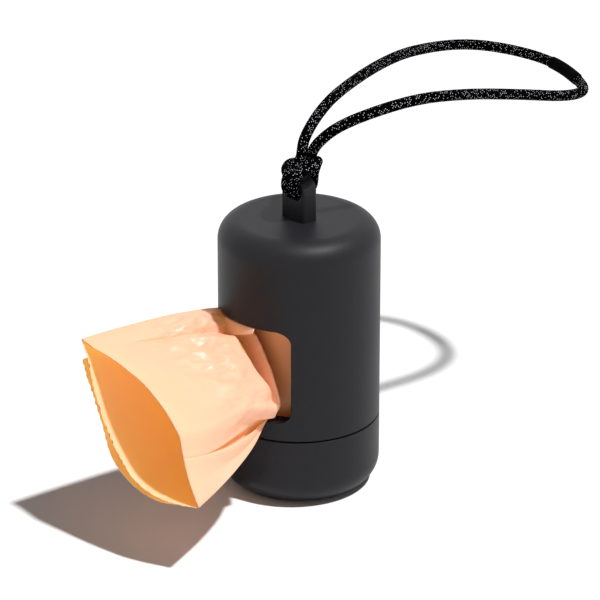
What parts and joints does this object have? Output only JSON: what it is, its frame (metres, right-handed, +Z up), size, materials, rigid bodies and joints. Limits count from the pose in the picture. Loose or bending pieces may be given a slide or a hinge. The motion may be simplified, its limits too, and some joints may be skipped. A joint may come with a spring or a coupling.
{
  "type": "dog waste bag dispenser",
  "caption": "Matte black screw-together canister for rolled dog waste bags, with a window, a bag half pulled out, a hang tab and a braided cord loop.",
  "frame": {"origin": "centre of the flat face that the canister stands on", "axes": "+Z up along the canister, -Y out through the window, +X to the window's right as one faces it"},
  "size_m": [0.0614, 0.1698, 0.111],
  "materials": {
    "casing": "finely grained moulded surface",
    "cap": "finely grained moulded surface",
    "tab": "satin moulded surface",
    "paper_core": "matte wound paper",
    "bag_film": "thin translucent orange film, soft sheen",
    "braid": "fine black braid with light flecks",
    "sleeve": "smooth shrunk-on tube"
  },
  "bodies": {
    "body": {"casing": "casing", "hang_tab": "tab", "cord_hitch": "braid"},
    "loop": {"cord_far_run": "braid", "cord_sleeve": "sleeve", "cord_near_run": "braid"},
    "core": {"roll_core": "paper_core"},
    "cap": {"base_cap": "cap"},
    "roll": {"bag_roll": "bag_film"},
    "bag": {"pulled_bag": "bag_film", "bag_neck": "bag_film"}
  },
  "joints": [
    {"name": "cap_travel", "type": "slide", "parent": "body", "child": "core", "axis": [0, 0, -1], "range_m": [0, 0.00401]},
    {"name": "cap_turn", "type": "hinge", "parent": "core", "child": "cap", "pos_m": [0, 0, 0.0225], "axis": [0, 0, -1], "range_deg": [0, 720]},
    {"name": "roll_spin", "type": "hinge", "parent": "core", "child": "roll", "pos_m": [0, 0, 0.0328], "axis": [0, 0, 1], "range_deg": [0, 45]},
    {"name": "bag_pull", "type": "slide", "parent": "body", "child": "bag", "axis": [0.12, -0.9928, 0], "range_m": [0, 0.012]},
    {"name": "loop_swing", "type": "hinge", "parent": "body", "child": "loop", "pos_m": [0, 0.00175, 0.09375], "axis": [1, 0, 0], "range_deg": [-10, 70]}
  ],
  "couplings": [
    {"joint": "cap_travel", "follows": "cap_turn", "m_per_rad": 0.00031831},
    {"joint": "roll_spin", "follows": "bag_pull", "rad_per_m": 64.5}
  ]
}
